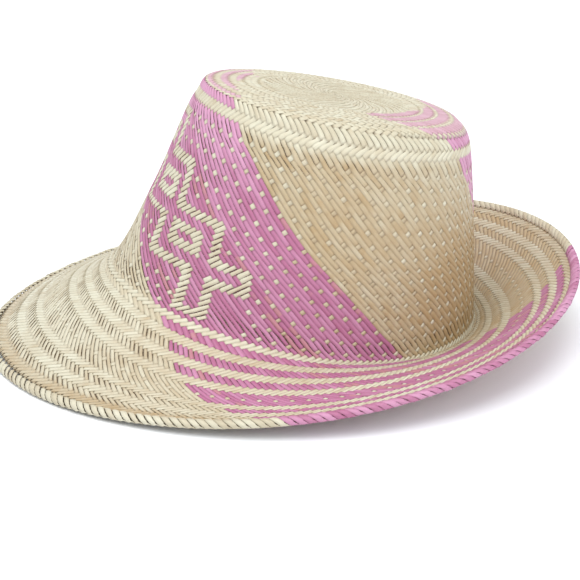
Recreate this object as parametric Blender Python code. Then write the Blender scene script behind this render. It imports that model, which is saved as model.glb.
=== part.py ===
"""A woven straw sun hat: crown and brim in one weave, and the turned-back plait that ends the brim.

Metres, +Z up. The front of the hat looks along -Y and the wearer's left side along +X. The hat rests
by itself on the front of its brim and on the back of the crown's foot. The origin is under the middle
of the whole hat, on the surface that it rests on.
"""

import math

import bmesh
import bpy
import numpy as np

# Crown, measured on its outside
HEAD_LENGTH = 0.215
HEAD_WIDTH = 0.190
TOP_LENGTH = 0.142
TOP_WIDTH = 0.124
TOP_SETBACK = 0.0255
CROWN_HEIGHT = 0.120
FOOT_RISE = 0.042
FOOT_SIDE_SAG = 0.0105
TOP_RISE = 0.030
TOP_DOME = 0.0025

# Brim: how far it reaches past the crown's foot, and how high its edge stands
BRIM_FRONT = 0.0735
BRIM_SIDE = 0.0665
BRIM_BACK = 0.0565
RIM_SIDE_HEIGHT = 0.0125
RIM_BACK_HEIGHT = 0.041
RIM_EGG = 0.055

# Straw
WALL = 0.0016
EDGE_WIDTH = 0.0065
EDGE_THICKNESS = 0.0030
CLEARANCE = 0.0003

# Facets
AROUND = 80
ROWS_PER_SPAN = {"top": 3, "wall_top": 4, "wall_mid": 3, "foot": 5, "brim_mid": 4, "rim": 3}
METER_STEPS = 60

# The round flat in the middle of the crown's top, as a share of the top's outline
FLAT_SHARE = 0.30

# Sections of the crown's wall. Shares of the way from the foot to the top: rise is the height, and
# front, side and back are how far the outline has drawn in there.
CROWN_SECTIONS = (
    {"name": "wall_top", "rise": 0.905, "front": 0.845, "side": 0.77, "back": 0.41},
    {"name": "wall_mid", "rise": 0.42, "front": 0.44, "side": 0.34, "back": 0.10},
)

# Section of the brim. Shares of the way from the foot to the rim, and the arch of the sides as a share
# of the brim's reach there.
BRIM_SECTION = {"name": "brim_mid", "out": 0.5, "front": 0.53, "back": 0.46, "side_arch": 0.0375, "egg": 0.5}

# Cross-section of the edge plait, going round it: share of its width from the rim inwards, and share
# of half its thickness above the middle of the straw wall.
EDGE_PROFILE = (
    {"inward": 0.00, "up": -0.35},
    {"inward": 0.22, "up": -1.00},
    {"inward": 0.80, "up": -1.00},
    {"inward": 1.00, "up": -0.60},
    {"inward": 1.00, "up": 0.60},
    {"inward": 0.80, "up": 1.00},
    {"inward": 0.22, "up": 1.00},
    {"inward": 0.00, "up": 0.35},
)

STRAW = {"name": "straw", "colour": (0.74, 0.67, 0.46, 1.0), "roughness": 0.6}
PLAIT = {"name": "edge_straw", "colour": (0.72, 0.60, 0.42, 1.0), "roughness": 0.62}

# What a section of the hat is described by: half its width, where its front and back lie, the height
# of its front, side and back, and how far its widest place lies behind its middle
COLUMNS = ("half_width", "front_y", "back_y", "front_z", "side_z", "back_z", "egg")


def mix(start, end, share):
    """Value at a share of the way from start to end."""
    return start + (end - start) * share


def foot_section():
    """The ring where the crown's wall turns into the brim. Its back rests on the surface."""
    back_z = WALL
    front_z = back_z + FOOT_RISE
    return {
        "half_width": HEAD_WIDTH / 2,
        "front_y": -HEAD_LENGTH / 2,
        "back_y": HEAD_LENGTH / 2,
        "front_z": front_z,
        "side_z": mix(front_z, back_z, 0.5) - FOOT_SIDE_SAG,
        "back_z": back_z,
        "egg": 0.0,
    }


def top_section(foot):
    """The ring round the crown's flat top."""
    middle_z = foot["side_z"] + CROWN_HEIGHT
    return {
        "half_width": TOP_WIDTH / 2,
        "front_y": TOP_SETBACK - TOP_LENGTH / 2,
        "back_y": TOP_SETBACK + TOP_LENGTH / 2,
        "front_z": middle_z + TOP_RISE / 2,
        "side_z": middle_z,
        "back_z": middle_z - TOP_RISE / 2,
        "egg": 0.0,
    }


def flat_section(top):
    """The edge of the plane round flat in the middle of the top, a little above the top's own ring."""
    middle_y = mix(top["front_y"], top["back_y"], 0.5)
    middle_z = mix(top["front_z"], top["back_z"], 0.5)
    return {
        "half_width": top["half_width"] * FLAT_SHARE,
        "front_y": mix(middle_y, top["front_y"], FLAT_SHARE),
        "back_y": mix(middle_y, top["back_y"], FLAT_SHARE),
        "front_z": mix(middle_z, top["front_z"], FLAT_SHARE) + TOP_DOME,
        "side_z": middle_z + TOP_DOME,
        "back_z": mix(middle_z, top["back_z"], FLAT_SHARE) + TOP_DOME,
        "egg": 0.0,
    }


def crown_section(foot, top, shares):
    """A ring round the crown's wall, between its foot and its top."""
    return {
        "half_width": mix(foot["half_width"], top["half_width"], shares["side"]),
        "front_y": mix(foot["front_y"], top["front_y"], shares["front"]),
        "back_y": mix(foot["back_y"], top["back_y"], shares["back"]),
        "front_z": mix(foot["front_z"], top["front_z"], shares["rise"]),
        "side_z": mix(foot["side_z"], top["side_z"], shares["rise"]),
        "back_z": mix(foot["back_z"], top["back_z"], shares["rise"]),
        "egg": 0.0,
    }


def rim_section(foot):
    """The brim's edge. Its front rests on the surface through the underside of the plait."""
    return {
        "half_width": foot["half_width"] + BRIM_SIDE,
        "front_y": foot["front_y"] - BRIM_FRONT,
        "back_y": foot["back_y"] + BRIM_BACK,
        "front_z": (WALL + EDGE_THICKNESS) / 2,
        "side_z": RIM_SIDE_HEIGHT,
        "back_z": RIM_BACK_HEIGHT,
        "egg": RIM_EGG,
    }


def brim_section(foot, rim, shares):
    """A ring on the brim, between the crown's foot and the rim."""
    out = shares["out"]
    return {
        "half_width": mix(foot["half_width"], rim["half_width"], out),
        "front_y": mix(foot["front_y"], rim["front_y"], out),
        "back_y": mix(foot["back_y"], rim["back_y"], out),
        "front_z": mix(foot["front_z"], rim["front_z"], shares["front"]),
        "side_z": mix(foot["side_z"], rim["side_z"], out) + shares["side_arch"] * BRIM_SIDE,
        "back_z": mix(foot["back_z"], rim["back_z"], shares["back"]),
        "egg": rim["egg"] * shares["egg"],
    }


def hat_sections():
    """All the sections by name, from the middle of the crown's top out to the rim."""
    foot = foot_section()
    top = top_section(foot)
    rim = rim_section(foot)
    sections = {"flat": flat_section(top), "top": top}
    for shares in CROWN_SECTIONS:
        sections[shares["name"]] = crown_section(foot, top, shares)
    sections["foot"] = foot
    sections[BRIM_SECTION["name"]] = brim_section(foot, rim, BRIM_SECTION)
    sections["rim"] = rim
    return sections


def knot_slopes(values):
    """Slopes at evenly spaced knots that let a smooth curve pass without overshooting."""
    steps = np.diff(values, axis=0)
    slopes = np.zeros_like(values)
    before, after = steps[:-1], steps[1:]
    same_way = before * after > 0.0
    total = np.where(same_way, before + after, 1.0)
    slopes[1:-1] = np.where(same_way, 2.0 * before * after / total, 0.0)
    slopes[0] = end_slope(steps[0], steps[1])
    slopes[-1] = end_slope(steps[-1], steps[-2])
    return slopes


def end_slope(step, next_step):
    """Slope at an end knot, kept from overshooting."""
    slope = 1.5 * step - 0.5 * next_step
    slope = np.where(slope * step <= 0.0, 0.0, slope)
    turns = step * next_step <= 0.0
    return np.where(turns & (np.abs(slope) > 3.0 * np.abs(step)), 3.0 * step, slope)


class HatSurface:
    """The outside of the hat: a place for each knot value (0 at the flat's edge) and each angle."""

    def __init__(self, sections):
        self.knots = list(sections)
        self.values = np.array([[section[column] for column in COLUMNS] for section in sections.values()])
        self.slopes = knot_slopes(self.values)

    def section_at(self, knot):
        """The section's values at a place between two knots."""
        index = min(int(knot), len(self.knots) - 2)
        t = knot - index
        start, end = self.values[index], self.values[index + 1]
        leave, arrive = self.slopes[index], self.slopes[index + 1]
        return (
            start * (1 + 2 * t) * (1 - t) ** 2
            + leave * t * (1 - t) ** 2
            + end * t * t * (3 - 2 * t)
            + arrive * t * t * (t - 1)
        )

    def ring(self, knot, angles):
        """Points of one ring, at angles that run from the left side (+X) towards the back (+Y)."""
        section = dict(zip(COLUMNS, self.section_at(knot)))
        across, along = np.cos(angles), np.sin(angles)
        x = section["half_width"] * across * (1 + section["egg"] * along)
        y = mix(section["front_y"], section["back_y"], 0.5)
        y = y + (section["back_y"] - section["front_y"]) / 2 * along
        lift = (section["front_z"] + section["back_z"]) / 2 - section["side_z"]
        z = section["side_z"] + (section["back_z"] - section["front_z"]) / 2 * along + lift * along**2
        return np.stack([x, y, z], axis=-1)


def ring_angles():
    """The angles of the facets' corners."""
    return np.arange(AROUND) * 2 * math.pi / AROUND


def rim_inward_points(surface, angles, distance):
    """Points at a distance in from the rim, measured along the straw."""
    last = len(surface.knots) - 1
    knots = np.linspace(last - 1, last, METER_STEPS)
    rings = np.array([surface.ring(knot, angles) for knot in knots])
    lengths = np.linalg.norm(np.diff(rings, axis=0), axis=2)
    to_rim = np.vstack([np.cumsum(lengths[::-1], axis=0)[::-1], np.zeros(len(angles))])
    points = np.empty((len(angles), 3))
    for column in range(len(angles)):
        for axis in range(3):
            points[column, axis] = np.interp(-distance, -to_rim[:, column], rings[:, column, axis])
    return points


def grid_normals(rows):
    """Unit normals of a grid of points, closed around, pointing out of the hat."""
    along = np.gradient(rows, axis=0)
    around = np.roll(rows, -1, axis=1) - np.roll(rows, 1, axis=1)
    normals = np.cross(along, around)
    return normals / np.linalg.norm(normals, axis=2, keepdims=True)


def body_rows(surface):
    """Rings of the outside of the crown and brim, from the flat's edge to the plait's inner edge."""
    angles = ring_angles()
    rows = [surface.ring(0.0, angles)]
    for index, name in enumerate(surface.knots[1:]):
        count = ROWS_PER_SPAN[name]
        for step in range(1, count + 1):
            if name == "rim" and step == count:
                rows.append(rim_inward_points(surface, angles, EDGE_WIDTH + CLEARANCE))
            else:
                rows.append(surface.ring(index + step / count, angles))
    return np.array(rows)


def add_object(name, points, faces, material):
    """An object with a mesh of its own, shaded smooth with its real edges kept."""
    mesh = bpy.data.meshes.new(name)
    mesh.from_pydata([tuple(point) for point in points], [], faces)
    mesh.materials.append(material)
    bm = bmesh.new()
    bm.from_mesh(mesh)
    bmesh.ops.recalc_face_normals(bm, faces=bm.faces)
    bm.to_mesh(mesh)
    bm.free()
    mesh.shade_smooth()
    mesh.set_sharp_from_angle(angle=math.radians(40))
    piece = bpy.data.objects.new(name, mesh)
    bpy.context.scene.collection.objects.link(piece)
    return piece


def add_material(look):
    """A plain straw finish."""
    material = bpy.data.materials.new(look["name"])
    material.use_nodes = True
    shader = material.node_tree.nodes["Principled BSDF"]
    shader.inputs["Base Color"].default_value = look["colour"]
    shader.inputs["Roughness"].default_value = look["roughness"]
    shader.inputs["Metallic"].default_value = 0.0
    return material


def strip_faces(first, second, count):
    """Quads between two closed rings of points that start at the given indices."""
    return [
        (first + i, first + (i + 1) % count, second + (i + 1) % count, second + i)
        for i in range(count)
    ]


def body_shell(surface):
    """Points and faces of the crown and brim: an outer and an inner skin, joined round the brim."""
    outer = body_rows(surface)
    inner = outer - grid_normals(outer) * WALL
    flat_axis = np.cross(outer[0, AROUND // 4] - outer[0, 0], outer[0, AROUND // 2] - outer[0, 0])
    flat_axis = flat_axis / np.linalg.norm(flat_axis)
    flat_axis = flat_axis * math.copysign(1.0, flat_axis[2])
    inner[0] = outer[0] - flat_axis * WALL
    rows = len(outer)
    points = list(outer.reshape(-1, 3)) + list(inner.reshape(-1, 3))
    faces = []
    for row in range(rows - 1):
        faces += strip_faces(row * AROUND, (row + 1) * AROUND, AROUND)
        faces += strip_faces((rows + row) * AROUND, (rows + row + 1) * AROUND, AROUND)
    faces += strip_faces((rows - 1) * AROUND, (2 * rows - 1) * AROUND, AROUND)
    faces.append(tuple(range(AROUND)))
    faces.append(tuple(range(rows * AROUND, (rows + 1) * AROUND)))
    return np.array(points), faces


def edge_ring(surface):
    """Points and faces of the plait round the rim, lying along the brim's own slope."""
    angles = ring_angles()
    last = len(surface.knots) - 1
    rim = surface.ring(last, angles)
    inner = rim_inward_points(surface, angles, EDGE_WIDTH)
    inward = inner - rim
    around = np.roll(rim, -1, axis=0) - np.roll(rim, 1, axis=0)
    up = np.cross(around, inward)
    up = up / np.linalg.norm(up, axis=1, keepdims=True)
    up = up * np.sign(up[:, 2:3])
    middle = rim - up * WALL / 2
    rings = []
    for corner in EDGE_PROFILE:
        rings.append(middle + inward * corner["inward"] + up * corner["up"] * EDGE_THICKNESS / 2)
    faces = []
    for index in range(len(rings)):
        faces += strip_faces(index * AROUND, (index + 1) % len(rings) * AROUND, AROUND)
    return np.array(rings).reshape(-1, 3), faces


def resting_shift(point_sets):
    """The move that puts the hat's lowest point on the surface and its middle over the origin."""
    points = np.vstack(point_sets)
    low, high = points.min(axis=0), points.max(axis=0)
    return np.array([-(low[0] + high[0]) / 2, -(low[1] + high[1]) / 2, -low[2]])


def clear_scene():
    """Remove what a new file holds."""
    for item in list(bpy.data.objects):
        bpy.data.objects.remove(item, do_unlink=True)


def main():
    """Build the hat's two pieces."""
    clear_scene()
    surface = HatSurface(hat_sections())
    body_points, body_faces = body_shell(surface)
    edge_points, edge_faces = edge_ring(surface)
    shift = resting_shift([body_points, edge_points])
    add_object("woven_body", body_points + shift, body_faces, add_material(STRAW))
    add_object("edge_plait", edge_points + shift, edge_faces, add_material(PLAIT))


main()
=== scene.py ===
"""Looks of a woven straw sun hat, in natural straw with strands dyed pink.

Every strand of the weave is modelled. Two families of flat strands cross on the bias: the first runs out
from the crown to the right, seen from outside, and the second to the left. Which family lies on top
makes the rings, the dotted field and the key border. A place on the hat is given by a knot value, from
the middle of the crown's top (-1) over the crown's foot (4) to the rim (6), and by the share of the way
round: 0 at the front, a quarter at the wearer's left (+X) and a half at the back (+Y). Metres, +Z up.
"""

import math

import bpy
import numpy as np
from mathutils import Matrix, Vector


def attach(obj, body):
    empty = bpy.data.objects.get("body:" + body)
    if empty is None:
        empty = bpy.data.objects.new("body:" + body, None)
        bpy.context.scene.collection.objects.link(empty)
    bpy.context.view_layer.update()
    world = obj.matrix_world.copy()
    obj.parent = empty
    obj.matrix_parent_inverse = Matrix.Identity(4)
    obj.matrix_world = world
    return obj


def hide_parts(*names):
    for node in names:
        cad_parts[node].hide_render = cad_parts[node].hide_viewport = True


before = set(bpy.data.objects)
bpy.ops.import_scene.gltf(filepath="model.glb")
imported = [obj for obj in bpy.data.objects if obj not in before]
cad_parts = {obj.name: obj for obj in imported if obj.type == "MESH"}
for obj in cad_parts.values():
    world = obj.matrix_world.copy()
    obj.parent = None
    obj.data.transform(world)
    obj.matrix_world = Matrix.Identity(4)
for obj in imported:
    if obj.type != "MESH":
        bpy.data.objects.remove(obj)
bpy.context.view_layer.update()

# Sizes of the hat, as in the model's own source
HEAD_LENGTH = 0.215
HEAD_WIDTH = 0.190
TOP_LENGTH = 0.142
TOP_WIDTH = 0.124
TOP_SETBACK = 0.0255
CROWN_HEIGHT = 0.120
FOOT_RISE = 0.042
FOOT_SIDE_SAG = 0.0105
TOP_RISE = 0.030
TOP_DOME = 0.0025
BRIM_FRONT = 0.0735
BRIM_SIDE = 0.0665
BRIM_BACK = 0.0565
RIM_SIDE_HEIGHT = 0.0125
RIM_BACK_HEIGHT = 0.041
RIM_EGG = 0.055
WALL = 0.0016
EDGE_THICKNESS = 0.0030
FLAT_SHARE = 0.30
CROWN_SECTIONS = (
    {"name": "wall_top", "rise": 0.905, "front": 0.845, "side": 0.77, "back": 0.41},
    {"name": "wall_mid", "rise": 0.42, "front": 0.44, "side": 0.34, "back": 0.10},
)
BRIM_SECTION = {
    "name": "brim_mid", "out": 0.5, "front": 0.53, "back": 0.46, "side_arch": 0.0375, "egg": 0.5,
}

# Strands: the thickness that the cross-section is a share of, how far each family lies from the middle of
# the wall where the two cross, and a strand's width as a share of the space that it has
STRAND_THICKNESS = 0.00072
CROSSING_OFFSET = 0.00024
STRAND_FILL = 1.04
SAMPLES_PER_CROSSING = 2

# A strand's cross-section, as shares of its width and its thickness, and which of its four sides are
# shaded smooth: the flanks are flat, the top and the underside are smooth
STRAND_PROFILE = np.array([[-0.5, -0.05], [-0.48, 0.38], [0.48, 0.38], [0.5, -0.05]])
SIDE_IS_ROUND = (False, True, False, True)


def mix(start, end, share):
    """Value at a share of the way from start to end."""
    return start + (end - start) * share


def section(half_width, front_y, back_y, front_z, side_z, back_z, egg=0.0):
    """One ring round the hat: half its width, its front and back, its heights, and how egg-shaped it is."""
    return np.array([half_width, front_y, back_y, front_z, side_z, back_z, egg])


def hat_sections():
    """The rings that shape the hat, from the edge of the top's flat out to the rim."""
    foot_front_z = WALL + FOOT_RISE
    foot = section(
        HEAD_WIDTH / 2, -HEAD_LENGTH / 2, HEAD_LENGTH / 2,
        foot_front_z, mix(foot_front_z, WALL, 0.5) - FOOT_SIDE_SAG, WALL,
    )
    top_z = foot[4] + CROWN_HEIGHT
    top = section(
        TOP_WIDTH / 2, TOP_SETBACK - TOP_LENGTH / 2, TOP_SETBACK + TOP_LENGTH / 2,
        top_z + TOP_RISE / 2, top_z, top_z - TOP_RISE / 2,
    )
    middle = section(0.0, TOP_SETBACK, TOP_SETBACK, top_z, top_z, top_z)
    flat = mix(middle, top, FLAT_SHARE) + section(0.0, 0.0, 0.0, TOP_DOME, TOP_DOME, TOP_DOME)
    rows = [flat, top]
    for shares in CROWN_SECTIONS:
        ways = [shares[key] for key in ("side", "front", "back", "rise", "rise", "rise")]
        rows.append(mix(foot, top, np.array(ways + [0.0])))
    rim = section(
        foot[0] + BRIM_SIDE, foot[1] - BRIM_FRONT, foot[2] + BRIM_BACK,
        (WALL + EDGE_THICKNESS) / 2, RIM_SIDE_HEIGHT, RIM_BACK_HEIGHT, RIM_EGG,
    )
    out = BRIM_SECTION["out"]
    ways = np.array([out, out, out, BRIM_SECTION["front"], out, BRIM_SECTION["back"], BRIM_SECTION["egg"]])
    brim = mix(foot, rim, ways)
    brim[4] += BRIM_SECTION["side_arch"] * BRIM_SIDE
    return np.array(rows + [foot, brim, rim])


def end_slope(step, next_step):
    """Slope at an end knot, kept from overshooting."""
    slope = 1.5 * step - 0.5 * next_step
    slope = np.where(slope * step <= 0.0, 0.0, slope)
    turns = step * next_step <= 0.0
    return np.where(turns & (np.abs(slope) > 3.0 * np.abs(step)), 3.0 * step, slope)


def knot_slopes(values):
    """Slopes at evenly spaced knots that let a smooth curve pass without overshooting."""
    steps = np.diff(values, axis=0)
    slopes = np.zeros_like(values)
    before, after = steps[:-1], steps[1:]
    same_way = before * after > 0.0
    slopes[1:-1] = np.where(same_way, 2.0 * before * after / np.where(same_way, before + after, 1.0), 0.0)
    slopes[0] = end_slope(steps[0], steps[1])
    slopes[-1] = end_slope(steps[-1], steps[-2])
    return slopes


# The surface is read once on a fine grid of rings, evenly spaced by length round each ring. An angle runs
# from the wearer's left (+X) to the back (+Y), and FRONT is the angle of the front.
RING_STEPS = 80
AROUND = 720
FRONT = -math.pi / 2


class HatSurface:
    """The outside of the hat: a point and an outward direction for each knot and share of the way round."""

    def __init__(self, sections, centre_y):
        self.values = sections
        self.slopes = knot_slopes(sections)
        self.last = len(sections) - 1
        self.centre_y = centre_y
        self.knots = np.linspace(-1.0, self.last, int((self.last + 1) * RING_STEPS) + 1)
        fine = np.linspace(FRONT, FRONT + 2 * math.pi, 4 * AROUND + 1)
        even = np.linspace(0.0, 1.0, AROUND + 1)
        rings = []
        for knot in self.knots:
            ring = self.ring(max(knot, 0.0), fine)
            steps = np.linalg.norm(np.diff(ring, axis=0), axis=1)
            shares = np.concatenate([[0.0], np.cumsum(steps)]) / steps.sum()
            angles = np.interp(even, shares, fine)
            ring = self.ring(max(knot, 0.0), angles)
            middle = ring[:-1].mean(axis=0)
            rings.append(mix(middle, ring, min(1.0, 1.0 + knot)))
        self.points = np.array(rings)
        along = np.gradient(self.points, axis=0)
        around = np.empty_like(self.points)
        around[:, 1:-1] = self.points[:, 2:] - self.points[:, :-2]
        around[:, 0] = around[:, -1] = self.points[:, 1] - self.points[:, -2]
        normals = np.cross(along, around)
        normals[0] = normals[1]
        self.normals = normals / np.linalg.norm(normals, axis=2, keepdims=True)

    def section_at(self, knot):
        """The section's values at a place between two knots."""
        index = min(int(knot), self.last - 1)
        t = knot - index
        return (
            self.values[index] * (1 + 2 * t) * (1 - t) ** 2
            + self.slopes[index] * t * (1 - t) ** 2
            + self.values[index + 1] * t * t * (3 - 2 * t)
            + self.slopes[index + 1] * t * t * (t - 1)
        )

    def ring(self, knot, angles):
        """Points of one ring at the given angles."""
        half_width, front_y, back_y, front_z, side_z, back_z, egg = self.section_at(knot)
        across, along = np.cos(angles), np.sin(angles)
        x = half_width * across * (1 + egg * along)
        y = (front_y + back_y) / 2 + (back_y - front_y) / 2 * along + self.centre_y
        lift = (front_z + back_z) / 2 - side_z
        z = side_z + (back_z - front_z) / 2 * along + lift * along**2
        return np.stack([x, y, z], axis=-1)

    def read(self, grid, knots, shares):
        """Values of a grid between its lines."""
        row = np.clip((knots + 1.0) * RING_STEPS, 0.0, len(self.knots) - 1.000001)
        column = (shares % 1.0) * AROUND
        i, j = row.astype(int), column.astype(int)
        s, t = (row - i)[..., None], (column - j)[..., None]
        near = grid[i, j] * (1 - t) + grid[i, j + 1] * t
        far = grid[i + 1, j] * (1 - t) + grid[i + 1, j + 1] * t
        return near * (1 - s) + far * s

    def place(self, knots, shares, inward):
        """Points at a depth inside the outer surface."""
        normals = self.read(self.normals, knots, shares)
        normals = normals / np.linalg.norm(normals, axis=-1, keepdims=True)
        return self.read(self.points, knots, shares) - normals * inward[..., None], normals


surface = HatSurface(hat_sections(), (BRIM_FRONT - BRIM_BACK) / 2)

# The weave is charted in rows, counted outwards from the top of the dotted field, and in columns, one
# for each strand of a family. A strand of the first family gains a column with each row and one of the
# second loses one, so they cross every half row. Places nearer than SAME_PLACE count as one.
CROSSING_STEP = 0.5
SAME_PLACE = 0.1
FIELD_ROWS = 31.0
LAST_ROW = 56.5
DOT_FIRST_ROW = 1.5
DOT_ROWS = 15
DOT_STEP = 2.0
BRIM_DOT_ROW = 45.0

# Rings round the hat where the second family lies on top, from row to row
CROWN_RINGS = (
    {"start": -4.0, "end": -3.0},
    {"start": -1.5, "end": 0.0},
    {"start": 31.0, "end": 32.5},
    {"start": 34.0, "end": 36.0},
    {"start": 37.5, "end": 39.5},
)
BRIM_RINGS = (
    {"start": 34.0, "end": 36.0},
    {"start": 37.5, "end": 39.5},
    {"start": 41.0, "end": 43.0},
    {"start": 47.5, "end": 49.5},
    {"start": 51.0, "end": 53.0},
    {"start": 54.5, "end": LAST_ROW},
)

# Rings of the crown's top where the first family lies on top: the row that they are counted inwards from,
# the rows from one to the next, their widths in rows, and the columns towards the back where they are wide
TOP_RING_ROW = -4.25
TOP_RING_STEP = 2.0
TOP_RING_NARROW = 1.0
TOP_RING_WIDE = 1.5
TOP_WIDE_COLUMNS = {"start": 16.0, "end": 58.0}

# How the crown's strands bunch and turn: the share of their spacing by which they bunch at the field's top
# and foot, how far beyond the field that goes on changing, in lengths of the field, where round the hat
# they bunch, how many columns round from the front column 0 lies, and the columns gained with each row
BUNCH_TOP = 0.180
BUNCH_FOOT = -0.183
BUNCH_LIMITS = (-0.3, 1.1)
BUNCH_SHARE = 0.347
COLUMN_SHIFT = 17.67
TWIST = -0.159

# Stretches of rows, and of the share of the way round, each with a soft start and a soft end
ROW_STRETCHES = {
    "open_field": {"start": -1.0, "full": 0.5, "fade": 29.5, "end": 31.0},
    "tan_and_shade_field": {"start": -0.5, "full": 1.0, "fade": 30.0, "end": 31.5},
    "brim_dots": {"start": 43.0, "full": 44.0, "fade": 46.5, "end": 47.5},
    "last_ring": {"start": 53.5, "full": 54.5, "fade": LAST_ROW, "end": 57.5},
}
ROUND_STRETCHES = {
    "back": {"start": 0.27, "full": 0.40, "fade": 0.62, "end": 0.80},
    "crown_left": {"start": 0.17, "full": 0.22, "fade": 0.26, "end": 0.36},
    "crown_near": {"start": 0.08, "full": 0.14, "fade": 0.22, "end": 0.34},
    "brim_near": {"start": 0.06, "full": 0.13, "fade": 0.22, "end": 0.30},
}

# How far the strands stand apart: 0 where they touch, 1 where dark slots show between them. In a table,
# start and rows say from which row of the field, and over how many rows, an amount comes in.
OPEN_CROWN = 0.06
OPEN_FIELD_SECOND = 0.5
OPEN_FIELD_TOP = {"amount": 0.25, "rows": 6.0}
OPEN_FIELD_FOOT = {"amount": 0.45, "start": 26.0, "rows": 3.0}
OPEN_FIELD_FRONT = 0.75
OPEN_BRIM = 0.05
OPEN_BRIM_FRONT = 1.2
OPEN_BRIM_DOTS = 0.5
OPEN_BRIM_SECOND = 0.1
OPEN_TOP = 0.10
OPEN_MIDDLE = 0.28
OPEN_LIMIT = 1.5
FRONT_POWER = 5

# How brown the straw is: 0 pale, 1 brown. At the back and in the field this is partly the straw's own tan
# and partly painted shade, and on the near side it is painted shade. The brim's back has one amount for
# each family.
TAN_CROWN = 0.12
TAN_AND_SHADE_CROWN_BACK = {"amount": 0.5, "start": 3.0, "rows": 14.0}
TAN_AND_SHADE_FIELD = 0.38
PAINTED_SHADE_FIELD_NEAR = 0.22
FIELD_FRONT_PALER = {"amount": 0.8, "power": 8}
TAN_SECOND = 0.06
TAN_AND_SHADE_SECOND_BACK = 0.2
PAINTED_SHADE_SECOND_LEFT = 0.5
TAN_AND_SHADE_BRIM_BACK = {1: 0.75, 2: 0.32}
TAN_LAST_RING = 0.5
PAINTED_SHADE_BRIM_NEAR = 0.3
TAN_TOP = 0.15
TAN_AND_SHADE_EDGE_BACK = 0.2

# How much narrower a strand is where slots show, as a share of its space, and how a strand's width, slots,
# tone and brown wander along it, smoothed over a span of samples
SLOT_SHARE = 0.30
WANDER_SPAN = 6
WANDER_WIDTH = 0.04
WANDER_OPEN = 0.8
WANDER_TONE = 0.06
WANDER_TAN = 0.10

# Tones of the strands: their spread, the second family's part of it, and how the first family's tone
# starts at the top of the field and deepens down it
TONE_SPREAD = 0.8
TONE_SECOND = 0.75
TONE_START = -0.35
TONE_DEEPENS = {"amount": 0.8, "rows": 11.0}
RANDOM_SEED = 7

# The turned edge: how far in from the rim and above the wall's middle a strand end lies, along its way
EDGE_FOLD = (
    {"inward": 0.0050, "up": 0.0004},
    {"inward": 0.0040, "up": 0.0011},
    {"inward": 0.0024, "up": 0.0014},
    {"inward": 0.0010, "up": 0.0011},
    {"inward": 0.0003, "up": 0.0},
    {"inward": 0.0010, "up": -0.0011},
    {"inward": 0.0026, "up": -0.0013},
    {"inward": 0.0046, "up": -0.0008},
)

# The turned ends' samples, how many strands they lean along the rim and from which share of their way, how
# far in the middle of the fold lies, their thickness, width, slots and unevenness, and the knots and the
# share of the way round between places that give a direction
EDGE_SAMPLES = 22
EDGE_LEAN = 2.8
EDGE_LEAN_START = 0.35
EDGE_MIDDLE = 0.003
EDGE_STRAND_THICKNESS = 0.0011
EDGE_FILL = 1.06
EDGE_SLOT_SHARE = 0.28
EDGE_UNEVEN_BULGE = 0.10
EDGE_UNEVEN_OPEN = 0.5
EDGE_UNEVEN_TAN = 0.08
INWARD_KNOTS = 0.12
ALONG_SHARE = 0.002

# Finish: scales of the fibres and patches, the metres by which one strand's fibres are shifted against the
# next strand's, how far the patches show, the roughness, the fibres' relief, where the deepest tones of the
# dye turn orange and how far, and the heights over which a strand is shaded: painted shade, which darkens
# the colour of a strand where it lies under the other family
FIBRE_SCALE = (5200.0, 130.0, 1.0)
FIBRE_SHIFT = 0.37
FIBRE_DETAIL = 4.0
FIBRE_ROUGHNESS = 0.6
FIBRE_RANGE = (0.30, 0.70)
PATCH_SCALE = 22.0
PATCH_DETAIL = 2.0
PATCH_RANGE = (0.45, 0.75)
PATCH_SHARE = 0.5
ROUGHNESS_RANGE = (0.42, 0.62)
RELIEF_STRENGTH = 0.35
RELIEF_DEPTH = 0.0002
ORANGE_RANGE = (1.16, 1.20)
ORANGE_SHARE = 0.40
SHADE_RANGE = (0.0, 0.75)

# Colours of the straw and the dye, and what the fibres and the painted shade multiply them by; the painted
# shade darkens the strands that lie under the other family
NATURAL_PALE = (0.70, 0.66, 0.52, 1.0)
NATURAL_WARM = (0.58, 0.51, 0.37, 1.0)
NATURAL_CREAM = (0.75, 0.72, 0.58, 1.0)
# Tan of the straw, also used as painted shade at the back, in the field and on the near side
NATURAL_TAN_AND_SHADE = (0.46, 0.32, 0.165, 1.0)
PINK_LIGHT = (0.66, 0.32, 0.50, 1.0)
PINK_DEEP = (0.46, 0.15, 0.28, 1.0)
PINK_ORANGE = (0.60, 0.32, 0.24, 1.0)
STREAK_DARK = (0.78, 0.76, 0.70, 1.0)
STREAK_LIGHT = (1.0, 1.0, 1.0, 1.0)
UNDER_SHADE = (0.26, 0.20, 0.15, 1.0)
NO_SHADE = (1.0, 1.0, 1.0, 1.0)


def ease(x):
    """Smooth step from 0 to 1."""
    x = np.clip(x, 0.0, 1.0)
    return x * x * (3 - 2 * x)


def bump_between(values, start, full, fade, end):
    """1 between full and fade, falling to 0 at start and at end."""
    return ease((values - start) / (full - start)) * (1 - ease((values - fade) / (end - fade)))


def frontness(shares):
    """1 at the front of the hat, 0 at the back, smooth between."""
    return 0.5 + 0.5 * np.cos(2 * math.pi * shares)


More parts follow.
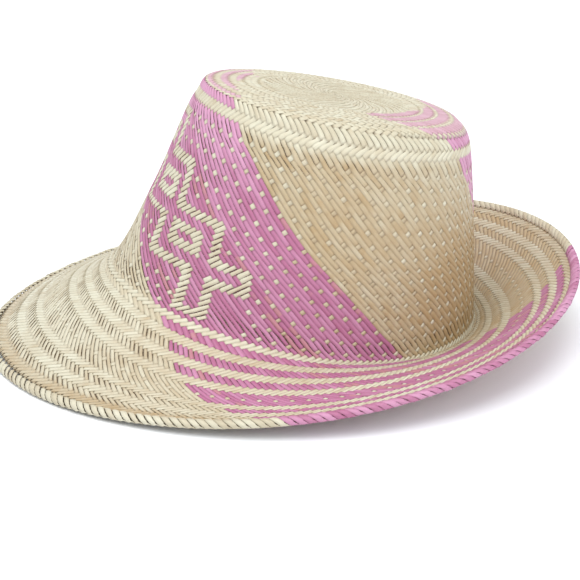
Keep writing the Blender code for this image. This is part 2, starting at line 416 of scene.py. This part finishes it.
class Sheet:
    """A stretch of the weave with one number of strands in each family.

    rows lists the places of rows: row, knot at the sides, and how the knot changes to the front and back.
    bands says where the first family lies on top, and shift how many columns round from the front column 0
    lies.
    """

    def __init__(self, name, count, rows, bands, shift=0.0):
        self.name = name
        self.count = count
        table = np.array([[row["row"], row["side"], row["front"], row["back"]] for row in rows])
        self.rows, self.side, self.front, self.back = table.T
        self.bands = bands
        self.shift = shift

    def share(self, columns, rows):
        """How far round the hat a place in the chart lies."""
        if self.name != "crown":
            return (columns + self.shift) / self.count
        q = (columns + self.shift + TWIST * rows) / self.count
        bunch = mix(BUNCH_TOP, BUNCH_FOOT, np.clip(rows / FIELD_ROWS, *BUNCH_LIMITS))
        return q + bunch * np.sin(2 * math.pi * (q - BUNCH_SHARE)) / (2 * math.pi)

    def knot(self, columns, rows):
        """The knot value of a place in the chart."""
        turn = np.cos(2 * math.pi * self.share(columns, rows))
        side = np.interp(rows, self.rows, self.side)
        front = np.interp(rows, self.rows, self.front)
        back = np.interp(rows, self.rows, self.back)
        return side + np.where(turn > 0.0, front, back) * turn**2


def in_rings(rings, rows):
    """Crossings whose row lies in one of the rings."""
    inside = np.zeros(np.shape(rows), bool)
    for ring in rings:
        inside |= (rows > ring["start"] - CROSSING_STEP / 2) & (rows < ring["end"] - CROSSING_STEP / 2)
    return inside


def is_whole(values):
    """Where values are whole numbers, apart from rounding."""
    return np.abs(values - np.round(values)) < SAME_PLACE


def crown_bands(columns, rows):
    """Rings round the shoulder, the dotted field with the key border, and the rings at the foot."""
    columns = (columns + crown.count / 2) % crown.count - crown.count / 2
    step = (rows - DOT_FIRST_ROW) / DOT_STEP
    line = np.round(step)
    dotted = is_whole(step) & (line > -0.5) & (line < DOT_ROWS - 0.5)
    dots = dotted & is_whole((columns - line) / 2)
    second = in_rings(CROWN_RINGS, rows) | motif_bands(columns, rows)
    return ~(second | (dots & ~near_motif(columns, rows)))


def in_box(box, columns, rows, margin):
    """Crossings that lie in a box of the chart, or within a margin of it."""
    across = (columns > box["left"] - margin) & (columns < box["right"] + margin)
    return across & (rows > box["top"] - margin) & (rows < box["foot"] + margin)


def motif_bands(columns, rows):
    """Crossings of the key border's lines, and of the squares that it encloses."""
    inside = np.zeros(np.shape(rows), bool)
    for box in KEY_LINES:
        inside |= in_box(box, columns, rows, 0.0)
    for square in KEY_SQUARES:
        core = {
            "left": square["left"] + KEY_WIDTH, "right": square["right"] - KEY_WIDTH,
            "top": square["top"] + KEY_WIDTH, "foot": square["foot"] - KEY_WIDTH,
        }
        inside |= in_box(square, columns, rows, 0.0) & ~in_box(core, columns, rows, 0.0)
    return inside


def near_motif(columns, rows):
    """Crossings close to the key border or enclosed by it, which carry no dots."""
    near = np.zeros(np.shape(rows), bool)
    for box in KEY_LINES + KEY_SQUARES + KEY_GROUND:
        near |= in_box(box, columns, rows, KEY_MARGIN)
    return near


def brim_bands(columns, rows):
    """The brim's rings, one of them with a line of dots."""
    dots = (np.abs(rows - BRIM_DOT_ROW) < SAME_PLACE) & is_whole((columns - 0.5) / 2)
    return ~(in_rings(BRIM_RINGS, rows) | dots)


def top_bands(columns, rows):
    """Narrow rings on the crown's top, in turn one family and the other."""
    columns = columns % top.count
    wide = (columns > TOP_WIDE_COLUMNS["start"]) & (columns < TOP_WIDE_COLUMNS["end"])
    return (TOP_RING_ROW - rows) % TOP_RING_STEP < np.where(wide, TOP_RING_WIDE, TOP_RING_NARROW)


def middle_bands(columns, rows):
    """In the middle of the top, every other strand of the second family lies on the first all along."""
    return np.floor((columns + rows) % 2.0) < 0.5


# The key border: lines of the second family on the dyed ground, boxes in columns and rows of the crown.
# A square is an outline of KEY_WIDTH, and dots keep KEY_MARGIN away from the boxes of all three tables.
KEY_WIDTH = 1.5
KEY_MARGIN = 0.6
KEY_LINES = (
    {"left": -26.5, "right": -18.5, "top": 0.1, "foot": 1.6},
    {"left": -20.0, "right": -18.5, "top": 0.1, "foot": 2.6},
    {"left": -20.0, "right": -11.9, "top": 1.1, "foot": 2.6},
    {"left": -13.4, "right": -11.9, "top": 1.1, "foot": 8.6},
    {"left": -13.4, "right": -5.0, "top": 7.1, "foot": 8.6},
    {"left": -6.6, "right": -5.0, "top": 7.1, "foot": 14.7},
    {"left": -6.6, "right": 2.6, "top": 13.2, "foot": 14.7},
    {"left": 1.0, "right": 2.6, "top": 13.2, "foot": 20.8},
    {"left": 1.0, "right": 7.6, "top": 19.3, "foot": 20.8},
    {"left": 6.1, "right": 7.6, "top": 19.3, "foot": 23.7},
    {"left": 1.0, "right": 7.6, "top": 22.2, "foot": 23.7},
    {"left": 1.0, "right": 2.6, "top": 22.2, "foot": 29.9},
    {"left": -2.1, "right": 2.6, "top": 28.4, "foot": 29.9},
    {"left": -2.1, "right": -0.5, "top": 21.9, "foot": 29.9},
    {"left": -9.4, "right": -0.5, "top": 21.9, "foot": 23.4},
    {"left": -9.4, "right": -7.9, "top": 16.0, "foot": 23.4},
    {"left": -16.6, "right": -7.9, "top": 16.0, "foot": 17.5},
    {"left": -16.6, "right": -15.1, "top": 9.6, "foot": 17.5},
    {"left": -23.6, "right": -15.1, "top": 9.6, "foot": 11.1},
    {"left": -23.6, "right": -22.1, "top": 3.4, "foot": 11.1},
)
KEY_SQUARES = (
    {"left": -20.9, "right": -14.9, "top": 4.0, "foot": 8.0},
    {"left": -13.6, "right": -7.6, "top": 10.2, "foot": 14.2},
    {"left": -6.2, "right": -0.3, "top": 16.2, "foot": 20.3},
)
KEY_GROUND = (
    {"left": -23.0, "right": -12.5, "top": 1.8, "foot": 9.8},
    {"left": -15.5, "right": -5.5, "top": 7.8, "foot": 16.3},
    {"left": -8.5, "right": 2.0, "top": 13.8, "foot": 22.5},
    {"left": -1.5, "right": 7.0, "top": 19.9, "foot": 29.6},
)

# Where the rows lie: the knot at the sides, and how it changes to the front and to the back
CROWN_ROWS = (
    {"row": -4.0, "side": 1.15, "front": -0.05, "back": 0.20},
    {"row": -3.0, "side": 1.44, "front": -0.20, "back": 0.30},
    {"row": -1.5, "side": 1.97, "front": -0.29, "back": 0.06},
    {"row": 0.0, "side": 2.16, "front": -0.15, "back": 0.02},
    {"row": 1.5, "side": 2.297, "front": -0.109, "back": 0.058},
    {"row": 7.75, "side": 2.641, "front": -0.076, "back": 0.030},
    {"row": 15.5, "side": 3.067, "front": -0.058, "back": -0.028},
    {"row": 23.25, "side": 3.439, "front": 0.063, "back": -0.101},
    {"row": 28.0, "side": 3.70, "front": 0.11, "back": -0.13},
    {"row": 31.0, "side": 3.93, "front": 0.05, "back": -0.05},
)
BRIM_ROWS = (
    {"row": 32.5, "side": 4.12, "front": -0.07, "back": -0.07},
    {"row": 34.0, "side": 4.36, "front": -0.245, "back": -0.245},
    {"row": 36.0, "side": 4.58, "front": -0.37, "back": -0.38},
    {"row": 37.5, "side": 4.80, "front": -0.47, "back": -0.50},
    {"row": 39.5, "side": 4.99, "front": -0.54, "back": -0.58},
    {"row": 41.0, "side": 5.18, "front": -0.605, "back": -0.63},
    {"row": 43.0, "side": 5.33, "front": -0.63, "back": -0.65},
    {"row": 45.25, "side": 5.47, "front": -0.57, "back": -0.60},
    {"row": 47.5, "side": 5.59, "front": -0.49, "back": -0.48},
    {"row": 49.5, "side": 5.68, "front": -0.46, "back": -0.42},
    {"row": 51.0, "side": 5.75, "front": -0.37, "back": -0.34},
    {"row": 53.0, "side": 5.83, "front": -0.29, "back": -0.25},
    {"row": 54.5, "side": 5.875, "front": -0.185, "back": -0.15},
    {"row": LAST_ROW, "side": 5.93, "front": -0.09, "back": -0.07},
)
TOP_ROWS = (
    {"row": -12.0, "side": 0.285, "front": 0.0, "back": 0.0},
    {"row": -10.0, "side": 0.424, "front": 0.0, "back": 0.0},
    {"row": -8.0, "side": 0.578, "front": 0.0, "back": 0.0},
    {"row": -6.0, "side": 0.79, "front": 0.0, "back": 0.0},
)
MIDDLE_ROWS = (
    {"row": -19.0, "side": 0.0, "front": 0.0, "back": 0.0},
    {"row": -12.0, "side": 0.285, "front": 0.0, "back": 0.0},
    {"row": -11.0, "side": 0.355, "front": 0.0, "back": 0.0},
)
HUB_ROWS = (
    {"row": -29.0, "side": -0.97, "front": 0.0, "back": 0.0},
    {"row": -25.0, "side": -0.70, "front": 0.0, "back": 0.0},
    {"row": -19.0, "side": 0.0, "front": 0.0, "back": 0.0},
    {"row": -18.0, "side": 0.04, "front": 0.0, "back": 0.0},
)

# The sheets of the weave, each with its number of strands in a family
crown = Sheet("crown", 140, CROWN_ROWS + BRIM_ROWS[:5], crown_bands, shift=COLUMN_SHIFT)
brim = Sheet("brim", 222, BRIM_ROWS, brim_bands, shift=-5.0)
top = Sheet("top", 96, TOP_ROWS + CROWN_ROWS[:3], top_bands, shift=12.0)
middle = Sheet("middle", 72, MIDDLE_ROWS, middle_bands)
hub = Sheet("hub", 36, HUB_ROWS, middle_bands)
eye = Sheet("eye", 14, HUB_ROWS, middle_bands)

# Rows that each family's strands cover. On the crown and the brim each end lies under the other family or
# under the turned edge. On the top some ends show, and the inner stretches overlap by half a row or a row.
STRETCHES = (
    {"sheet": crown, "family": 1, "start": -3.5, "end": 35.0, "piece": "crown_strands_first"},
    {"sheet": crown, "family": 2, "start": -2.25, "end": 33.25, "piece": "crown_strands_second"},
    {"sheet": brim, "family": 1, "start": 35.0, "end": LAST_ROW, "piece": "brim_strands_first"},
    {"sheet": brim, "family": 2, "start": 33.25, "end": LAST_ROW, "piece": "brim_strands_second"},
    {"sheet": top, "family": 1, "start": -12.0, "end": -3.5, "piece": "top_strands_first"},
    {"sheet": top, "family": 2, "start": -12.0, "end": -2.25, "piece": "top_strands_second"},
    {"sheet": middle, "family": 1, "start": -19.5, "end": -11.5, "piece": "middle_strands_first"},
    {"sheet": middle, "family": 2, "start": -19.5, "end": -11.5, "piece": "middle_strands_second"},
    {"sheet": hub, "family": 1, "start": -25.0, "end": -18.5, "piece": "hub_strands_first"},
    {"sheet": hub, "family": 2, "start": -25.0, "end": -18.5, "piece": "hub_strands_second"},
    {"sheet": eye, "family": 1, "start": -29.0, "end": -24.5, "piece": "eye_strands_first"},
    {"sheet": eye, "family": 2, "start": -29.0, "end": -24.5, "piece": "eye_strands_second"},
)

# Dyed strands of the first family, numbered as columns at row 0, how strong the dye is on the top, where
# the pink is paler as painted light from above, and how many columns a bound falls or rises with each row
# inside the turning row, because fewer of the strands towards the middle of the top are dyed
DYED = {
    "crown": ({"low": -34.8, "high": 1.0}, {"low": 37.1, "high": 71.0}),
    "brim": ({"low": -3.0, "high": 54.0}, {"low": 98.0, "high": 133.0}),
    "top": ({"low": -20.0, "high": 0.6, "rise": 2.5}, {"low": 25.5, "high": 51.9}),
}
TOP_DYE_PAINTED_LIGHT = 0.7
DYED_TURN_ROW = -6.0
DYED_FALL = 2.0


def strand_path(stretch, number):
    """Columns and rows of one strand's samples, from its inner to its outer end."""
    sheet, family = stretch["sheet"], stretch["family"]
    step = CROSSING_STEP / SAMPLES_PER_CROSSING
    count = int(round((stretch["end"] - stretch["start"]) / step)) + 1
    rows = stretch["start"] + np.arange(count) * step
    columns = number + rows if family == 1 else number - rows
    return columns, rows


def dyed(sheet, numbers, rows):
    """1 where a strand of the first family is dyed, 0 elsewhere; on the top less, so that the pink is paler
    there as painted light.
    """
    share = np.zeros(np.broadcast(numbers, rows).shape)
    inner = np.maximum(0.0, DYED_TURN_ROW - rows)
    for sector in DYED.get(sheet.name, ()):
        for turn in (-sheet.count, 0, sheet.count):
            low = sector["low"] + sector.get("rise", 0.0) * inner
            inside = (numbers + turn > low) & (numbers + turn < sector["high"] - DYED_FALL * inner)
            share = np.maximum(share, inside)
    # On the top the dye is weaker: painted light from above
    return share * (TOP_DYE_PAINTED_LIGHT if sheet.name == "top" else 1.0)


def heights(sheet, family, columns, rows):
    """How far a family lies above the middle of the wall: 1 on top, -1 underneath, smooth between."""
    down = np.floor(rows / CROSSING_STEP) * CROSSING_STEP
    up = down + CROSSING_STEP
    share = (rows - down) / CROSSING_STEP
    sign = 1 if family == 1 else -1
    low = sheet.bands(columns - sign * (rows - down), down)
    high = sheet.bands(columns + sign * (up - rows), up)
    value = mix(np.where(low, 1.0, -1.0), np.where(high, 1.0, -1.0), ease(share))
    return value * sign


def openness(sheet, family, rows, shares):
    """How far the strands stand apart: 0 where they touch, 1 where dark slots show between them."""
    front = frontness(shares) ** FRONT_POWER
    if sheet.name == "crown":
        field = bump_between(rows, **ROW_STRETCHES["open_field"])
        if family == 2:
            return OPEN_CROWN + OPEN_FIELD_SECOND * field
        at_top = OPEN_FIELD_TOP["amount"] * (1 - ease(rows / OPEN_FIELD_TOP["rows"]))
        down = (rows - OPEN_FIELD_FOOT["start"]) / OPEN_FIELD_FOOT["rows"]
        loose = at_top + OPEN_FIELD_FOOT["amount"] * ease(down) + OPEN_FIELD_FRONT * front
        return OPEN_CROWN + loose * field
    if sheet.name == "brim":
        slots = front if family == 1 else OPEN_BRIM_SECOND * front
        dots = bump_between(rows, **ROW_STRETCHES["brim_dots"])
        return slots * (OPEN_BRIM_FRONT - OPEN_BRIM_DOTS * dots) + OPEN_BRIM
    return np.full(rows.shape, OPEN_TOP if sheet.name == "top" else OPEN_MIDDLE)


def tan_and_shade_amount(sheet, family, rows, shares):
    """How dark and warm the straw is, 0 pale and 1 fully so: partly the straw's own colour and partly
    painted shade at the back and in the field, and painted shade on the near side.
    """
    turn = shares % 1.0
    back = bump_between(turn, **ROUND_STRETCHES["back"])
    if sheet.name == "crown":
        down = (rows - TAN_AND_SHADE_CROWN_BACK["start"]) / TAN_AND_SHADE_CROWN_BACK["rows"]
        # Towards the back and down the crown: partly the straw's own tan and partly painted shade
        crown_tan_and_shade = TAN_AND_SHADE_CROWN_BACK["amount"] * back * ease(down) + TAN_CROWN
        field = bump_between(rows, **ROW_STRETCHES["tan_and_shade_field"])
        if family == 2:
            # Painted shade on the near side, the wearer's left
            left = bump_between(turn, **ROUND_STRETCHES["crown_left"])
            return TAN_AND_SHADE_SECOND_BACK * crown_tan_and_shade + TAN_SECOND + PAINTED_SHADE_SECOND_LEFT * left * field
        # Painted shade on the near side
        near = bump_between(turn, **ROUND_STRETCHES["crown_near"])
        paler = FIELD_FRONT_PALER["amount"] * frontness(turn) ** FIELD_FRONT_PALER["power"]
        return crown_tan_and_shade + (TAN_AND_SHADE_FIELD * (1 - paler) + PAINTED_SHADE_FIELD_NEAR * near) * field
    if sheet.name == "brim":
        last_ring = TAN_LAST_RING * bump_between(rows, **ROW_STRETCHES["last_ring"])
        # Painted shade on the near side of the brim
        near = PAINTED_SHADE_BRIM_NEAR * bump_between(turn, **ROUND_STRETCHES["brim_near"])
        return np.maximum(TAN_AND_SHADE_BRIM_BACK[family] * back, last_ring) + near
    return np.full(rows.shape, TAN_TOP)


def smooth_noise(random, shape, span):
    """Random values along each strand, smoothed over a span of samples."""
    values = random.standard_normal((shape[0], shape[1] + span - 1))
    total = np.cumsum(np.concatenate([np.zeros((shape[0], 1)), values], axis=1), axis=1)
    return (total[:, span:] - total[:, :-span]) / math.sqrt(span)


def unit(vectors):
    """Vectors with a length of 1."""
    return vectors / np.linalg.norm(vectors, axis=-1, keepdims=True)


def build_strands(stretch, random):
    """The strands of one family in one stretch: places, directions, widths and the values of their finish
    and painted shade.
    """
    sheet, family = stretch["sheet"], stretch["family"]
    numbers = np.arange(sheet.count) + 0.5
    paths = [strand_path(stretch, number) for number in numbers]
    columns = np.array([path[0] for path in paths])
    rows = np.array([path[1] for path in paths])
    knots = sheet.knot(columns, rows)
    shares = sheet.share(columns, rows)
    level = heights(sheet, family, columns, rows)
    depth = WALL / 2 - CROSSING_OFFSET * level
    points, normals = surface.place(knots, shares, depth)
    side_columns = columns + 0.5
    side_rows = rows - 0.5 if family == 1 else rows + 0.5
    side_knots = sheet.knot(side_columns, side_rows)
    beside, _ = surface.place(side_knots, sheet.share(side_columns, side_rows), depth)
    across = unit(np.cross(normals, unit(np.gradient(points, axis=1))))
    spacing = np.abs(((beside - points) * across).sum(axis=2))
    open_share = openness(sheet, family, rows, shares)
    wander = smooth_noise(random, rows.shape, WANDER_SPAN)
    slots = np.clip(open_share * (1 + WANDER_OPEN * wander), 0.0, OPEN_LIMIT)
    tones = random.random(sheet.count) * (1.0 if family == 1 else TONE_SECOND)
    tone = TONE_SPREAD * tones[:, None] + WANDER_TONE * wander
    if family == 1:
        tone += TONE_DEEPENS["amount"] * ease(rows / TONE_DEEPENS["rows"]) + TONE_START
    return {
        "points": points,
        "normals": normals,
        "across": across,
        "width": spacing * (STRAND_FILL - SLOT_SHARE * slots + WANDER_WIDTH * wander),
        "level": level,
        "dye": dyed(sheet, numbers[:, None], rows) if family == 1 else np.zeros(rows.shape),
        "tone": tone,
        "tan_and_shade": tan_and_shade_amount(sheet, family, rows, shares) + WANDER_TAN * wander,
        "thickness": np.full(rows.shape, STRAND_THICKNESS),
    }


def mesh_from_strands(name, strands):
    """A mesh of closed flat ribbons, with the values that their finish and painted shade read."""
    points, normals, across = strands["points"], strands["normals"], strands["across"]
    total, count = points.shape[:2]
    sides = len(STRAND_PROFILE)
    beside = across[:, :, None] * (strands["width"][:, :, None] * STRAND_PROFILE[:, 0])[..., None]
    above = normals[:, :, None] * (strands["thickness"][:, :, None] * STRAND_PROFILE[:, 1])[..., None]
    vertices = (points[:, :, None] + beside + above).reshape(-1, 3)
    base = (np.arange(total)[:, None] * count + np.arange(count - 1)[None, :]) * sides
    quads = []
    for side in range(sides):
        following = (side + 1) % sides
        corners = (side, following, sides + following, sides + side)
        quads.append(np.stack([base + corner for corner in corners], axis=-1))
    quads = np.stack(quads, axis=2).reshape(-1, 4)
    starts = np.arange(total)[:, None] * count * sides
    ends = starts + (count - 1) * sides
    caps = np.concatenate([starts + np.arange(sides)[::-1], ends + np.arange(sides)])
    loops = np.concatenate([quads.ravel(), caps.ravel()]).astype(np.int32)
    sizes = np.concatenate([np.full(len(quads), 4), np.full(len(caps), sides)]).astype(np.int32)
    mesh = bpy.data.meshes.new(name)
    mesh.vertices.add(len(vertices))
    mesh.vertices.foreach_set("co", vertices.astype(np.float32).ravel())
    mesh.loops.add(len(loops))
    mesh.loops.foreach_set("vertex_index", loops)
    mesh.polygons.add(len(sizes))
    mesh.polygons.foreach_set("loop_start", (np.cumsum(sizes) - sizes).astype(np.int32))
    mesh.polygons.foreach_set("loop_total", sizes)
    mesh.update(calc_edges=True)
    smooth = np.concatenate([np.tile(SIDE_IS_ROUND, len(quads) // sides), np.zeros(len(caps), bool)])
    mesh.polygons.foreach_set("use_smooth", smooth)
    values = np.stack([strands["dye"], strands["tone"], strands["level"], strands["tan_and_shade"]], axis=-1)
    colours = np.repeat(values[:, :, None], sides, axis=2)
    # Painted shade: the third value darkens a strand where it lies under the other family. Seen from inside
    # the hat, the family that is underneath lies on top
    facing = np.sign(STRAND_PROFILE[:, 1])
    colours[..., 2] = 0.5 + 0.5 * colours[..., 2] * facing
    layer = mesh.color_attributes.new("strand", "FLOAT_COLOR", "POINT")
    layer.data.foreach_set("color", colours.astype(np.float32).ravel())
    steps = np.linalg.norm(np.diff(points, axis=1), axis=2)
    run = np.concatenate([np.zeros((total, 1)), np.cumsum(steps, axis=1)], axis=1)
    place = np.empty((total, count, sides, 2))
    place[..., 0] = STRAND_PROFILE[:, 0] * strands["width"][:, :, None]
    place[..., 1] = run[:, :, None] + FIBRE_SHIFT * np.arange(total)[:, None, None]
    uv = mesh.uv_layers.new(name="along")
    uv.data.foreach_set("uv", place.reshape(-1, 2)[loops].astype(np.float32).ravel())
    piece = bpy.data.objects.new(name, mesh)
    bpy.context.scene.collection.objects.link(piece)
    return piece


def edge_strands(random):
    """The strand ends turned over the brim's edge and back underneath, one for each outer strand."""
    numbers = np.arange(brim.count) + 0.5
    fold = np.array([[step["inward"], step["up"]] for step in EDGE_FOLD])
    places = np.linspace(0.0, len(fold) - 1.0, EDGE_SAMPLES)
    inward = np.interp(places, np.arange(len(fold)), fold[:, 0])
    up = np.interp(places, np.arange(len(fold)), fold[:, 1])
    lean = EDGE_LEAN * (places / places[-1] - EDGE_LEAN_START)
    share = (numbers[:, None] + brim.shift + LAST_ROW + lean[None, :]) / brim.count
    rows = np.full(share.shape, LAST_ROW)
    last = np.full(share.shape, float(surface.last))
    outside = np.zeros(share.shape)
    middle_of_wall = np.full(share.shape, WALL / 2)
    rim, normals = surface.place(last, share, middle_of_wall)
    inner, _ = surface.place(last - INWARD_KNOTS, share, middle_of_wall)
    way = unit(inner - rim)
    bulge = 1 + EDGE_UNEVEN_BULGE * random.standard_normal((brim.count, 1))
    points = rim + way * (inward[None, :, None]) + normals * (up[None, :] * bulge)[..., None]
    along = unit(np.gradient(points, axis=1))
    here, _ = surface.place(last, share, outside)
    around = unit(surface.place(last, share + ALONG_SHARE, outside)[0] - here)
    outward = unit(np.cross(along, around))
    outward = outward * np.sign((outward * (points - rim - way * EDGE_MIDDLE)).sum(axis=2, keepdims=True))
    across = unit(np.cross(outward, along))
    pitch = np.linalg.norm(surface.place(last, share + 1 / brim.count, outside)[0] - rim, axis=2)
    slant = np.abs((across * around).sum(axis=2))
    uneven = 1 + EDGE_UNEVEN_OPEN * random.standard_normal((brim.count, 1))
    slots = np.clip(openness(brim, 1, rows, share) * uneven, 0.0, OPEN_LIMIT)
    wander = random.standard_normal((brim.count, 1))
    back = bump_between(share % 1.0, **ROUND_STRETCHES["back"])
    return {
        "points": points,
        "normals": outward,
        "across": across,
        "width": pitch * slant * (EDGE_FILL - EDGE_SLOT_SHARE * slots),
        "level": np.ones(share.shape),
        "dye": dyed(brim, numbers[:, None], rows),
        "tone": np.broadcast_to(random.random((brim.count, 1)), share.shape),
        # At the back the edge is tan partly as painted shade
        "tan_and_shade": TAN_AND_SHADE_EDGE_BACK * back + EDGE_UNEVEN_TAN * wander,
        "thickness": np.full(share.shape, EDGE_STRAND_THICKNESS),
    }


def straw_material(name):
    """Straw: fine fibres along each strand, strands of different tones, some strands dyed, a warmer darker
    colour that is partly the straw's own and partly painted shade, and painted shade on the strands
    underneath.
    """
    material = bpy.data.materials.new(name)
    material.use_nodes = True
    tree = material.node_tree
    shader = tree.nodes["Principled BSDF"]

    def node(kind, **settings):
        made = tree.nodes.new(kind)
        for key, value in settings.items():
            setattr(made, key, value)
        return made

    def join(start, end):
        tree.links.new(start, end)

    def blend(share, first, second, how="MIX"):
        made = node("ShaderNodeMixRGB", blend_type=how)
        for socket, value in (("Fac", share), ("Color1", first), ("Color2", second)):
            if isinstance(value, (float, tuple)):
                made.inputs[socket].default_value = value
            else:
                join(value, made.inputs[socket])
        return made.outputs["Color"]

    def spread(value, low, high, to_low=0.0, to_high=1.0):
        made = node("ShaderNodeMapRange", clamp=True)
        join(value, made.inputs["Value"])
        ends = {"From Min": low, "From Max": high, "To Min": to_low, "To Max": to_high}
        for socket, number in ends.items():
            made.inputs[socket].default_value = number
        return made.outputs["Result"]

    strand = node("ShaderNodeAttribute", attribute_name="strand")
    channels = node("ShaderNodeSeparateColor")
    join(strand.outputs["Color"], channels.inputs["Color"])
    dye, tone, level = (channels.outputs[key] for key in ("Red", "Green", "Blue"))
    tan_and_shade = strand.outputs["Alpha"]

    where = node("ShaderNodeUVMap", uv_map="along")
    stretched = node("ShaderNodeMapping")
    stretched.inputs["Scale"].default_value = FIBRE_SCALE
    join(where.outputs["UV"], stretched.inputs["Vector"])
    fibres = node("ShaderNodeTexNoise")
    fibres.inputs["Scale"].default_value = 1.0
    fibres.inputs["Detail"].default_value = FIBRE_DETAIL
    fibres.inputs["Roughness"].default_value = FIBRE_ROUGHNESS
    join(stretched.outputs["Vector"], fibres.inputs["Vector"])
    body = node("ShaderNodeTexCoord")
    patches = node("ShaderNodeTexNoise")
    patches.inputs["Scale"].default_value = PATCH_SCALE
    patches.inputs["Detail"].default_value = PATCH_DETAIL
    join(body.outputs["Object"], patches.inputs["Vector"])

    natural = blend(spread(tone, 0.0, 1.0), NATURAL_PALE, NATURAL_WARM)
    creamy = spread(patches.outputs["Fac"], *PATCH_RANGE, 0.0, PATCH_SHARE)
    natural = blend(creamy, natural, NATURAL_CREAM)
    # Towards tan: the straw's own tan, and painted shade at the back, in the field and on the near side
    natural = blend(spread(tan_and_shade, 0.0, 1.0), natural, NATURAL_TAN_AND_SHADE)
    pink = blend(spread(tone, 0.0, 1.0), PINK_LIGHT, PINK_DEEP)
    pink = blend(spread(tone, *ORANGE_RANGE, 0.0, ORANGE_SHARE), pink, PINK_ORANGE)
    colour = blend(dye, natural, pink)
    streaks = blend(spread(fibres.outputs["Fac"], *FIBRE_RANGE), STREAK_DARK, STREAK_LIGHT)
    colour = blend(1.0, colour, streaks, "MULTIPLY")
    # Painted shade: the strands that lie under the other family are darkened
    shade = blend(spread(level, *SHADE_RANGE), UNDER_SHADE, NO_SHADE)
    colour = blend(1.0, colour, shade, "MULTIPLY")
    join(colour, shader.inputs["Base Color"])
    join(spread(fibres.outputs["Fac"], *FIBRE_RANGE, *ROUGHNESS_RANGE), shader.inputs["Roughness"])
    relief = node("ShaderNodeBump")
    relief.inputs["Strength"].default_value = RELIEF_STRENGTH
    relief.inputs["Distance"].default_value = RELIEF_DEPTH
    join(fibres.outputs["Fac"], relief.inputs["Height"])
    join(relief.outputs["Normal"], shader.inputs["Normal"])
    return material


def add_piece(name, strands, material, node):
    """A piece of the weave in the hat's one body."""
    piece = mesh_from_strands(name, strands)
    piece.data.materials.append(material)
    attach(piece, "root")
    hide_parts(node)
    return piece


random = np.random.default_rng(RANDOM_SEED)
straw = straw_material("straw_and_painted_shade")
for stretch in STRETCHES:
    add_piece(stretch["piece"], build_strands(stretch, random), straw, "woven_body")
add_piece("edge_strands", edge_strands(random), straw, "edge_plait")

# Camera, at the photograph's angle to the hat
CAMERA_ELEVATION = math.radians(21.0)
CAMERA_AZIMUTH = math.radians(79.3)
CAMERA_ROLL = math.radians(1.0)
CAMERA_DISTANCE = 0.888
CAMERA_AIM = (0.0, 0.00585, 0.018)
CAMERA_LENS = 93.2
CAMERA_SENSOR = 36.0
CAMERA_NEAR = 0.05
CAMERA_FAR = 30.0

# Studio: the floor, the light from all round, and soft square lamps that point at the hat
FLOOR_HALF_SIZE = 6.0
FLOOR_COLOUR = (0.97, 0.98, 1.0, 1.0)
FLOOR_ROUGHNESS = 0.8
SKY_COLOUR = (0.92, 0.96, 1.0, 1.0)
SKY_STRENGTH = 0.96
LAMP_AIM = (0.0, 0.0, 0.06)
LAMPS = (
    {"name": "key", "place": (0.3, -0.4, 2.3), "energy": 41.0, "size": 2.4},
    {"name": "fill", "place": (1.9, 1.2, 0.9), "energy": 12.0, "size": 1.8},
)


def add_camera():
    """The camera, which looks at the hat's left side from a little above and in front."""
    back = Vector((
        math.sin(CAMERA_AZIMUTH) * math.cos(CAMERA_ELEVATION),
        -math.cos(CAMERA_AZIMUTH) * math.cos(CAMERA_ELEVATION),
        math.sin(CAMERA_ELEVATION),
    ))
    camera = bpy.data.objects.new("camera", bpy.data.cameras.new("camera"))
    bpy.context.scene.collection.objects.link(camera)
    camera.data.lens = CAMERA_LENS
    camera.data.sensor_width = CAMERA_SENSOR
    camera.data.clip_start = CAMERA_NEAR
    camera.data.clip_end = CAMERA_FAR
    turn = (-back).to_track_quat("-Z", "Y").to_matrix().to_4x4()
    camera.matrix_world = (
        Matrix.Translation(Vector(CAMERA_AIM) + back * CAMERA_DISTANCE)
        @ turn @ Matrix.Rotation(-CAMERA_ROLL, 4, "Z")
    )
    bpy.context.scene.camera = camera


def add_lamp(name, place, energy, size):
    """A soft lamp that points at the hat."""
    lamp = bpy.data.objects.new(name, bpy.data.lights.new(name, "AREA"))
    bpy.context.scene.collection.objects.link(lamp)
    lamp.location = place
    lamp.rotation_mode = "QUATERNION"
    lamp.rotation_quaternion = (Vector(LAMP_AIM) - Vector(place)).to_track_quat("-Z", "Y")
    lamp.data.energy = energy
    lamp.data.size = size


def add_stage():
    """A plain pale floor, soft light from all round and the lamps."""
    mesh = bpy.data.meshes.new("floor")
    half = FLOOR_HALF_SIZE
    corners = [(-half, -half, 0), (half, -half, 0), (half, half, 0), (-half, half, 0)]
    mesh.from_pydata(corners, [], [(0, 1, 2, 3)])
    floor = bpy.data.objects.new("floor", mesh)
    bpy.context.scene.collection.objects.link(floor)
    material = bpy.data.materials.new("floor_finish")
    material.use_nodes = True
    shader = material.node_tree.nodes["Principled BSDF"]
    shader.inputs["Base Color"].default_value = FLOOR_COLOUR
    shader.inputs["Roughness"].default_value = FLOOR_ROUGHNESS
    mesh.materials.append(material)
    world = bpy.data.worlds.new("studio")
    bpy.context.scene.world = world
    world.use_nodes = True
    bpy.context.scene.view_settings.view_transform = "Standard"
    sky = world.node_tree.nodes["Background"]
    sky.inputs["Color"].default_value = SKY_COLOUR
    sky.inputs["Strength"].default_value = SKY_STRENGTH
    for lamp in LAMPS:
        add_lamp(**lamp)


add_camera()
add_stage()
